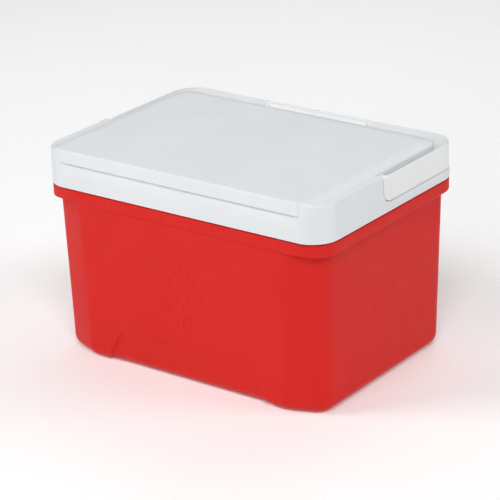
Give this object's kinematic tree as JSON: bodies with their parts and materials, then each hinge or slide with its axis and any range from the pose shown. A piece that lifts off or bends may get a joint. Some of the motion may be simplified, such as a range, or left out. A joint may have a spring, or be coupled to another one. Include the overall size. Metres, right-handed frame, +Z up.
{
  "type": "picnic cooler",
  "caption": "Hard-sided personal picnic cooler: tapered insulated tub, rear-hinged lid with a front finger lip, and a swing-up bail handle that locks the lid.",
  "frame": {"origin": "on the ground, at the middle of the tub's flat base", "axes": "+X to the right along the long side, +Y towards the hinge at the back, +Z up; the finger lip and the stepped panel face -Y"},
  "size_m": [0.34, 0.2545, 0.2215],
  "materials": {
    "red_shell": "fine satin texture, moulded polyethylene",
    "white_shell": "fine satin texture, moulded polypropylene",
    "white_liner": "smooth moulded polyethylene",
    "white_handle": "smooth satin moulded polypropylene",
    "white_grip": "smooth satin, slightly softer",
    "foam": "rigid blown foam",
    "acetal": "natural acetal",
    "steel": "stainless, bright drawn"
  },
  "bodies": {
    "tub": {"outer_shell": "red_shell", "inner_liner": "white_liner", "body_insulation": "foam", "lock_keeper_right": "acetal", "lock_keeper_left": "acetal", "hinge_base_right": "white_shell", "hinge_base_left": "white_shell", "hinge_base_screws": "steel", "hinge_pin_right": "steel", "hinge_pin_left": "steel"},
    "lid": {"lid_shell": "white_shell", "lid_liner": "white_liner", "lid_insulation": "foam", "hinge_leaf_right": "white_shell", "hinge_leaf_left": "white_shell", "hinge_leaf_screws": "steel", "pivot_bush_right": "acetal", "pivot_bush_left": "acetal"},
    "handle": {"handle_bail": "white_handle", "handle_grip": "white_grip", "pivot_pin_right": "steel", "pivot_pin_left": "steel", "lock_hook_right": "acetal", "lock_hook_left": "acetal", "hook_screws": "steel"}
  },
  "joints": [
    {"name": "lid_hinge", "type": "hinge", "parent": "tub", "child": "lid", "pos_m": [0, 0.127, 0.1785], "axis": [-1, 0, 0], "range_deg": [0, 100]},
    {"name": "handle_pivot", "type": "hinge", "parent": "lid", "child": "handle", "pos_m": [0, -0.008, 0.2105], "axis": [1, 0, 0], "range_deg": [0, 90]}
  ]
}
